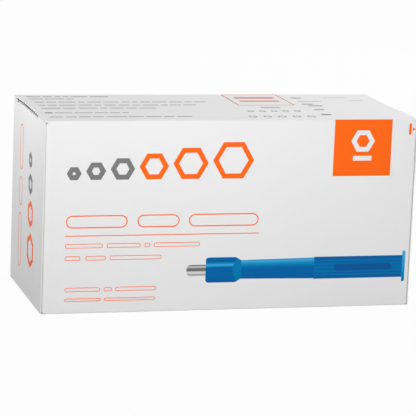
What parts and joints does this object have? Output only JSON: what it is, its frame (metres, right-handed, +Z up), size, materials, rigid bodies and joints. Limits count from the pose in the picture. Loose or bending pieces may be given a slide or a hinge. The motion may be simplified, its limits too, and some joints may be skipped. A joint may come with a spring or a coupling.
{
  "type": "carton of biopsy punches",
  "caption": "Long white paperboard carton with a tuck lid at each end, printed front, top and left lid, filled with stacked blister packs of skin biopsy punches.",
  "frame": {"origin": "centre of the bottom panel's outer face", "axes": "+X runs along the carton towards the right lid, -Y points out of the printed front panel, +Z is up out of the top panel"},
  "size_m": [0.155, 0.067, 0.078],
  "materials": {
    "carton_board": "satin",
    "grey_ink": "satin",
    "orange_ink": "satin",
    "blue_ink": "satin",
    "dark_blue_ink": "satin",
    "silver_ink": "satin",
    "red_ink": "satin",
    "backing_paper": "matt",
    "clear_tray": "clear gloss",
    "blue_plastic": "satin",
    "blade_steel": "ground"
  },
  "bodies": {
    "carton": {"carton_tube": "carton_board", "grey_print": "grey_ink", "orange_print": "orange_ink", "blue_print": "blue_ink", "dark_blue_print": "dark_blue_ink", "steel_print": "silver_ink", "red_print": "red_ink", "blister_backing_01": "backing_paper", "blister_backing_02": "backing_paper", "blister_backing_03": "backing_paper", "blister_backing_04": "backing_paper", "blister_backing_05": "backing_paper", "blister_backing_06": "backing_paper", "blister_backing_07": "backing_paper", "blister_backing_08": "backing_paper", "blister_backing_09": "backing_paper", "blister_backing_10": "backing_paper", "blister_tray_01": "clear_tray", "blister_tray_02": "clear_tray", "blister_tray_03": "clear_tray", "blister_tray_04": "clear_tray", "blister_tray_05": "clear_tray", "blister_tray_06": "clear_tray", "blister_tray_07": "clear_tray", "blister_tray_08": "clear_tray", "blister_tray_09": "clear_tray", "blister_tray_10": "clear_tray", "punch_handle_01": "blue_plastic", "punch_handle_02": "blue_plastic", "punch_handle_03": "blue_plastic", "punch_handle_04": "blue_plastic", "punch_handle_05": "blue_plastic", "punch_handle_06": "blue_plastic", "punch_handle_07": "blue_plastic", "punch_handle_08": "blue_plastic", "punch_handle_09": "blue_plastic", "punch_handle_10": "blue_plastic", "punch_blade_01": "blade_steel", "punch_blade_02": "blade_steel", "punch_blade_03": "blade_steel", "punch_blade_04": "blade_steel", "punch_blade_05": "blade_steel", "punch_blade_06": "blade_steel", "punch_blade_07": "blade_steel", "punch_blade_08": "blade_steel", "punch_blade_09": "blade_steel", "punch_blade_10": "blade_steel"},
    "left_lid": {"left_lid": "carton_board", "lid_grey_print": "grey_ink", "lid_orange_print": "orange_ink"},
    "right_lid": {"right_lid": "carton_board"}
  },
  "joints": [
    {"name": "left_lid_fold", "type": "hinge", "parent": "carton", "child": "left_lid", "pos_m": [-0.07727, 0, 0.00022], "axis": [0, -1, 0], "range_deg": [0, 90]},
    {"name": "right_lid_fold", "type": "hinge", "parent": "carton", "child": "right_lid", "pos_m": [0.07727, 0, 0.00022], "axis": [0, 1, 0], "range_deg": [0, 90]}
  ]
}
